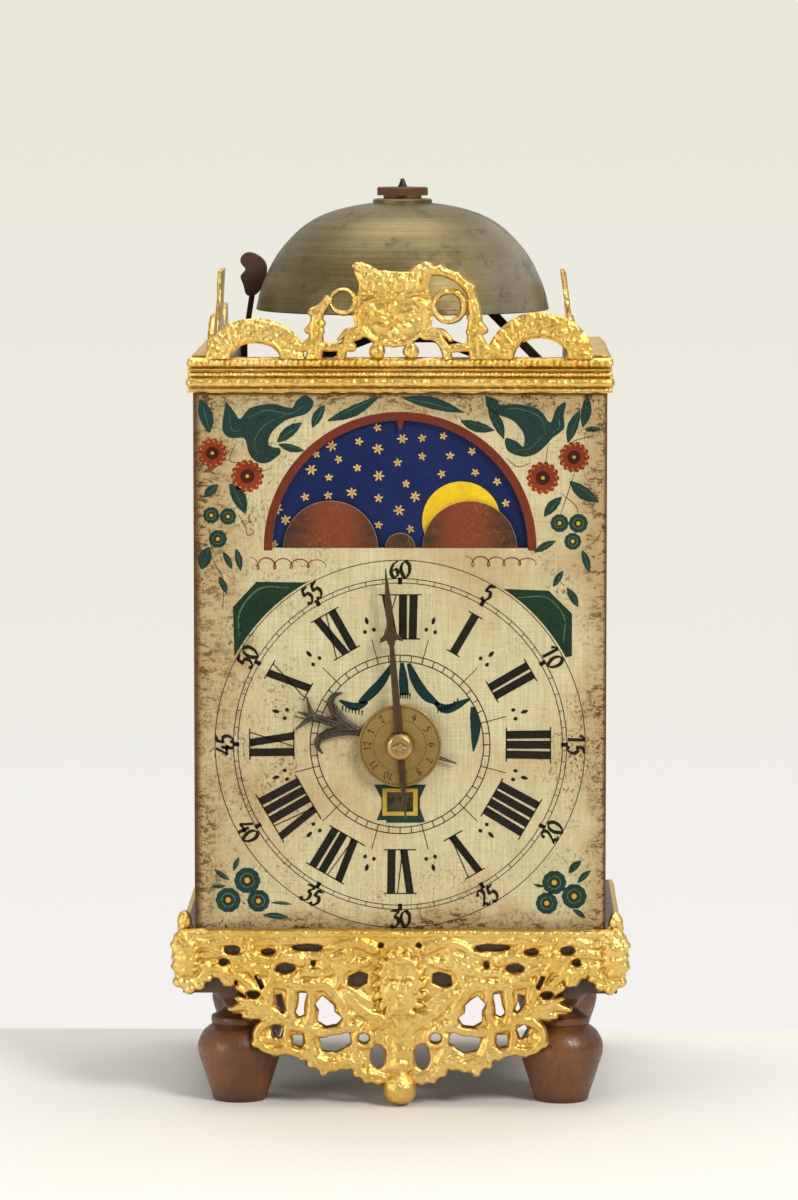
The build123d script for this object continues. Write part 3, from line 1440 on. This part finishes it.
with BuildPart() as front_crest:
    half_moulding = half_dial + moulding_overhang
    section_plane = Plane(origin=(-half_moulding, dial_face, case_top), x_dir=(0, -1, 0), z_dir=(-1, 0, 0))
    extrude(moulding_section(section_plane, moulding_depth), amount=-2 * half_moulding)
    crest_front = dial_face - crest_height_step
    crest_plane = Plane(origin=(0, crest_front, board_top - 0.2), x_dir=(1, 0, 0), z_dir=(0, -1, 0))
    outline = [(cartouche_middle + x, y) for x, y in cartouche_half]
    outline += [(cartouche_middle - x, y) for x, y in reversed(cartouche_half[1:-1])]
    slab(patch(crest_plane, fitted(outline, crest_drawn, crest_real)), -crest_thick)
    for across, half_width, rise, opening_half, opening_rise in (
        (-0.698 * half_dial, 22.8, 17.4, 11.2, 7.6),
        (0.676 * half_dial, 24.4, 20.0, 12.2, 10.2),
    ):
        slab(arch(crest_plane, across, half_width, rise, opening_half, opening_rise), -crest_thick)
    for points, start_width, end_width in crest_curls:
        points = fitted(points, crest_drawn, crest_real)
        slab(curl(crest_plane, points, start_width, end_width), -crest_thick)
    for across, lift, ring_outer, ring_inner in crest_rings:
        with BuildSketch(crest_plane) as ring:
            with Locations((across * half_dial / crest_drawn[0], lift)):
                Circle(ring_outer)
                Circle(ring_inner, mode=Mode.SUBTRACT)
        slab(ring.sketch, -crest_thick)
    for across in crest_balls:
        with BuildSketch(crest_plane) as ball:
            with Locations((across, 3.0)):
                Circle(crest_ball_radius)
        slab(ball.sketch, -crest_thick)
finish(front_crest, "front_crest")


def side_crest(side, across, lean):
    """Side casting: moulding on the board's edge, a ledge and a leaning fret."""
    edge = dial_face + side_crest_length_gap / 2
    length = case_depth - side_crest_length_gap
    section_plane = Plane(origin=(side * half_dial, edge, case_top), x_dir=(side, 0, 0), z_dir=(0, -side, 0))
    extrude(moulding_section(section_plane, side_moulding_overhang), amount=-side * length)
    ledge_width = half_dial - across + side_ledge_margin
    with Locations((side * (half_dial - ledge_width / 2), edge + length / 2, board_top)):
        Box(ledge_width + 1, length, casting_thick / 2, align=LOW)
    foot = (side * across, 0, board_top + casting_thick / 4)
    fret_plane = Plane(origin=foot, x_dir=(0, 1, 0), z_dir=(1, 0, 0)).rotated((0, -side * lean, 0))
    half_centre = 0.33 * case_depth
    high = side_crest_height
    centre_half = [(-14, 0), (-17, 0.35 * high), (-18, 0.54 * high), (-15, 0.81 * high), (-18, high)]
    for shape in (
        arch(fret_plane, -half_centre, 22.8, 17.4, 11.2, 7.6),
        arch(fret_plane, half_centre, 22.8, 17.4, 11.2, 7.6),
        patch(fret_plane, centre_half + [(-x, y) for x, y in reversed(centre_half)]),
        curl(fret_plane, [(-16, 8), (-24, 12), (-32, 7), (-38, 2)], 4.0, 3.0),
        curl(fret_plane, [(16, 8), (24, 12), (32, 7), (38, 2)], 4.0, 3.0),
    ):
        extrude(shape, amount=casting_thick / 2, both=True)


with BuildPart() as left_crest:
    side_crest(-1, half_dial - left_crest_inset, left_crest_lean)
finish(left_crest, "left_crest")

with BuildPart() as right_crest:
    side_crest(1, half_dial - right_crest_inset, right_crest_lean)
finish(right_crest, "right_crest")


# Bottom front fret: pierced apron with corner masks, a centre mask and a ball pendant
fret_drawn = (105.8, 79.5)
fret_real = (fret_half_width, base_top)
fret_high = (fret_top_lift + base_top) * fret_drawn[1] / base_top
half_fret = [
    (99.8, fret_high + 0.5), (104.4, fret_high - 1.8), (105.8, 74.5), (105.2, 67.0), (104.2, 60.5),
    (100.8, 54.8), (96.8, 52.6), (93.2, 54.4), (89.4, 57.0), (87.6, 61.8), (84.4, 59.6), (81.6, 55.6),
    (78.4, 55.8), (76.0, 58.2), (74.0, 53.6), (70.4, 50.6), (75.0, 48.8), (79.0, 46.0), (77.2, 42.8),
    (72.6, 42.8), (69.6, 39.4), (64.0, 40.2), (68.0, 36.4), (68.0, 31.4), (64.4, 26.6), (58.2, 24.0),
    (52.2, 24.8), (47.6, 22.2), (42.0, 21.4), (38.4, 17.4), (34.8, 14.6), (29.6, 16.2), (22.6, 17.2),
    (18.6, 13.6), (14.6, 10.8), (8.0, 10.0),
]
fret_ovals = [
    (42.6, 74.2, 7.8, 1.4), (52.6, 64.4, 4.0, 1.8), (77.6, 73.0, 3.2, 1.8), (61.0, 72.2, 3.4, 1.3),
    (81.6, 67.4, 2.0, 1.5), (67.8, 52.3, 2.6, 1.4), (16.6, 31.9, 2.2, 1.9), (10.2, 23.0, 3.5, 5.4),
    (8.6, 75.3, 1.0, 1.0), (40.0, 66.6, 1.0, 1.3),
]
fret_gaps = [
    [(36, 51.6), (39.6, 47.6), (37.6, 44.4), (37.8, 39.6), (33.8, 37.2), (29.4, 38.0),
     (27.2, 41.0), (30.2, 43.8), (30.4, 47.0), (33.0, 49.4)],
    [(43.2, 52.4), (46.4, 52.8), (47.0, 48.0), (48.4, 43.6), (46.6, 41.8), (44.4, 42.6), (44.2, 47.0)],
    [(55.0, 52.2), (57.4, 51.6), (56.4, 47.0), (54.2, 44.0), (53.2, 45.4), (54.4, 48.4)],
    [(24, 34.4), (29, 33.0), (37.4, 31.6), (35.6, 26.0), (30, 25.2), (25.6, 27.4), (22.6, 29.6)],
    [(45, 33.2), (49.6, 33.2), (49.4, 28.6), (46.2, 27.6), (44.8, 28.8)],
    [(54.2, 36.0), (57.4, 38.2), (59.8, 36.6), (58.4, 33.0), (55.8, 31.8)],
    [(15.2, 61.6), (18.0, 62.6), (23.4, 60.8), (23.8, 56.6), (19.4, 55.8), (15.4, 58.0)],
    [(64.2, 55.0), (66.8, 60.8), (65.4, 61.2), (63.4, 56.2)],
]


def mask(plane_front, across, height, half_width, half_height, relief):
    """Raised oval boss on the front of a casting."""
    middle = Plane(origin=(across, plane_front, height), x_dir=(1, 0, 0), z_dir=(0, -1, 0))
    with BuildSketch(middle) as base:
        Ellipse(half_width, half_height)
    with BuildSketch(middle.offset(relief)) as crown:
        Ellipse(half_width * 0.55, half_height * 0.6)
    loft([base.sketch.faces()[0], crown.sketch.faces()[0]])


with BuildPart() as bottom_front_fret:
    plane = Plane(origin=(0, base_front, 0), x_dir=(1, 0, 0), z_dir=(0, -1, 0))
    outline = half_fret + [(-x, z) for x, z in reversed(half_fret)]
    extrude(patch(plane, fitted(outline, fret_drawn, fret_real)), amount=casting_thick)
    for side in (-1, 1):
        with BuildSketch(plane) as holes:
            for across, height, half_width, half_height in fret_ovals:
                with Locations(fitted([(side * across, height)], fret_drawn, fret_real)[0]):
                    Ellipse(half_width, half_height)
        extrude(holes.sketch, amount=casting_thick, mode=Mode.SUBTRACT)
        for corners in fret_gaps:
            corners = fitted([(side * x, z) for x, z in corners], fret_drawn, fret_real)
            extrude(patch(plane, corners), amount=casting_thick, mode=Mode.SUBTRACT)
        corner_across = side * (fret_half_width - corner_mask_inset)
        mask(fret_front, corner_across, base_top - corner_mask_drop, 6.4, 13, corner_mask_relief)
    mask(fret_front, 0, base_top - centre_mask_drop, 9.5, 16.5, centre_mask_relief)
    pendant_height = pendant_radius + pendant_ground_gap
    with Locations((0, fret_front + casting_thick / 2, pendant_height)):
        Sphere(pendant_radius, rotation=(90, 0, 0))
    with BuildSketch(plane) as neck:
        with Locations((0, pendant_height + pendant_radius)):
            Rectangle(pendant_neck_width, pendant_neck_height)
    extrude(neck.sketch, amount=casting_thick)
finish(bottom_front_fret, "bottom_front_fret")


def side_fret(side):
    """Side casting on the base board's edge, with a leaf rising at its front corner."""
    plane = Plane(origin=(side * half_base, 0, 0), x_dir=(0, 1, 0), z_dir=(1, 0, 0))
    low = foot_height + 1
    pitch = (base_back - base_front) / side_scallops
    outline = [(base_front, base_top), (base_back, base_top)]
    for scallop in range(side_scallops):
        start = base_back - scallop * pitch
        outline += [(start, low + scallop_rise), (start - 0.3 * pitch, low), (start - 0.7 * pitch, low)]
    outline.append((base_front, low + scallop_rise))
    extrude(patch(plane, outline), amount=side * casting_thick)
    with BuildSketch(plane) as holes:
        for scallop in range(side_scallops):
            with Locations((base_front + (scallop + 0.5) * pitch, 0.55 * base_top + 0.45 * low)):
                Ellipse(pitch / 4, pitch / 14)
    extrude(holes.sketch, amount=side * casting_thick, mode=Mode.SUBTRACT)
    ear_across = side * (half_base + casting_thick - ear_width / 2)
    with Locations((ear_across, base_front + 0.4 + ear_depth / 2, base_top)):
        Box(ear_width, ear_depth, ear_height, align=LOW)


with BuildPart() as bottom_left_fret:
    side_fret(-1)
finish(bottom_left_fret, "bottom_left_fret")

with BuildPart() as bottom_right_fret:
    side_fret(1)
finish(bottom_right_fret, "bottom_right_fret")


# Nails with domed brass heads, through the bottom front fret
nail_places = [(-84.6, 63.0), (-64.8, 60.8), (63.3, 66.8), (92.2, 59.2)]
with BuildPart() as fret_nails:
    for across, height in fitted(nail_places, fret_drawn, fret_real):
        with BuildSketch(Plane(origin=(across, fret_front, height), x_dir=(1, 0, 0), z_dir=(0, -1, 0))):
            Circle(nail_radius)
        extrude(amount=nail_height, taper=nail_taper)
finish(fret_nails, "fret_nails")
